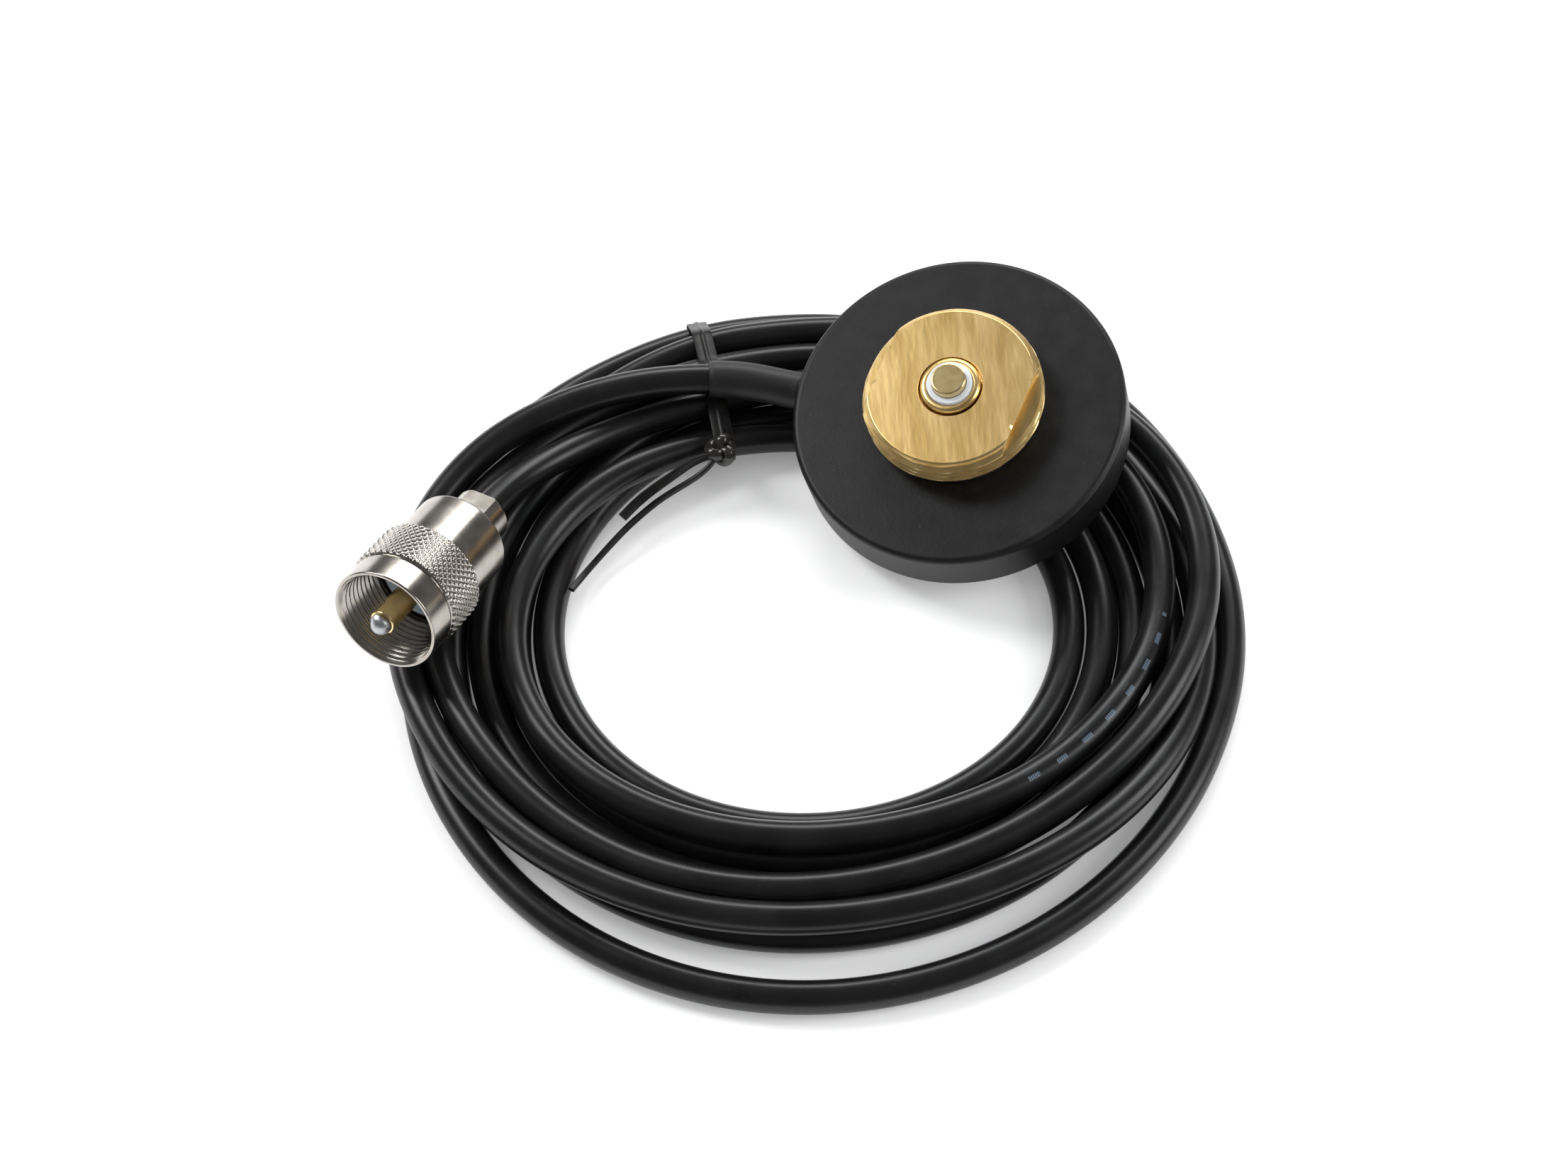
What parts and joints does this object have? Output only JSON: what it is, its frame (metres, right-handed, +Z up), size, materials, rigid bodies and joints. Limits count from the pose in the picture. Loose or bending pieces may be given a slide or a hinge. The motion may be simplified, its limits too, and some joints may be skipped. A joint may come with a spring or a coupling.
{
  "type": "magnetic antenna mount with coiled coaxial lead",
  "caption": "Round magnetic antenna mount with a threaded brass mount on top, a coiled coaxial lead held by a twist tie, and a screw-on UHF plug.",
  "frame": {"origin": "middle of the assembly's footprint, on the plane it lies on", "axes": "+Z up, out of the plane the coil lies on; the thread's axis and the plug's axis each tilt as stated by their mounts"},
  "size_m": [0.1386, 0.1294, 0.0311],
  "materials": {
    "base_shell": "satin black paint",
    "base_pad": "soft vinyl pad",
    "ring_magnet": "grey ferrite",
    "magnet_yoke": "zinc plated steel",
    "mount_body": "turned brass, light gold, fine lathe marks",
    "mount_gasket": "black rubber gasket",
    "mount_lock_washer": "plated spring steel",
    "mount_jam_nut": "turned brass",
    "contact_collar": "turned brass with a rounded top",
    "mount_insulator": "white fluoropolymer",
    "mount_contact": "gold-plated flat contact",
    "contact_solder": "solder",
    "ground_clip": "spring brass strip",
    "exit_tube": "black vinyl tube",
    "heat_shrink_sleeve": "matte heat-shrink",
    "cable_jacket": "black vinyl jacket, satin",
    "base_braid": "tinned copper braid",
    "base_dielectric": "white polyethylene",
    "base_conductor": "copper strands",
    "plug_braid": "tinned copper braid",
    "plug_dielectric": "white polyethylene",
    "plug_conductor": "copper strands",
    "plug_body": "nickel plated brass",
    "plug_insulator": "pale plastic",
    "plug_pin": "gold-plated brass tube",
    "pin_solder": "dull solder dome",
    "plug_reducer": "nickel plated brass",
    "plug_slip_ring": "nickel plated spring ring",
    "coupling_nut": "nickel plated brass, diamond knurl",
    "tie_band": "glossy dark plastic ribbon",
    "tie_knot": "glossy dark plastic ribbon, twisted",
    "tie_tail_ribbon": "glossy dark plastic ribbon",
    "tie_tail_thin": "glossy dark plastic ribbon"
  },
  "bodies": {
    "mount_and_lead": {"base_shell": "base_shell", "base_pad": "base_pad", "ring_magnet": "ring_magnet", "magnet_yoke": "magnet_yoke", "mount_body": "mount_body", "mount_gasket": "mount_gasket", "mount_lock_washer": "mount_lock_washer", "mount_jam_nut": "mount_jam_nut", "contact_collar": "contact_collar", "mount_insulator": "mount_insulator", "mount_contact": "mount_contact", "contact_solder": "contact_solder", "ground_clip": "ground_clip", "exit_tube": "exit_tube", "heat_shrink_sleeve": "heat_shrink_sleeve", "cable_jacket": "cable_jacket", "base_braid": "base_braid", "base_dielectric": "base_dielectric", "base_conductor": "base_conductor", "plug_braid": "plug_braid", "plug_dielectric": "plug_dielectric", "plug_conductor": "plug_conductor", "plug_body": "plug_body", "plug_insulator": "plug_insulator", "plug_pin": "plug_pin", "pin_solder": "pin_solder", "plug_reducer": "plug_reducer", "tie_band": "tie_band", "tie_knot": "tie_knot", "tie_tail_ribbon": "tie_tail_ribbon", "tie_tail_thin": "tie_tail_thin"},
    "slip_ring": {"plug_slip_ring": "plug_slip_ring"},
    "nut": {"coupling_nut": "coupling_nut"}
  },
  "joints": [
    {"name": "nut_slide", "type": "slide", "parent": "mount_and_lead", "child": "slip_ring", "axis": [-0.4128, -0.8687, 0.2739], "range_m": [0, 0.0025]},
    {"name": "nut_spin", "type": "hinge", "parent": "slip_ring", "child": "nut", "pos_m": [-0.05748, -0.00257, 0.02022], "axis": [-0.4128, -0.8687, 0.2739], "continuous": true}
  ]
}
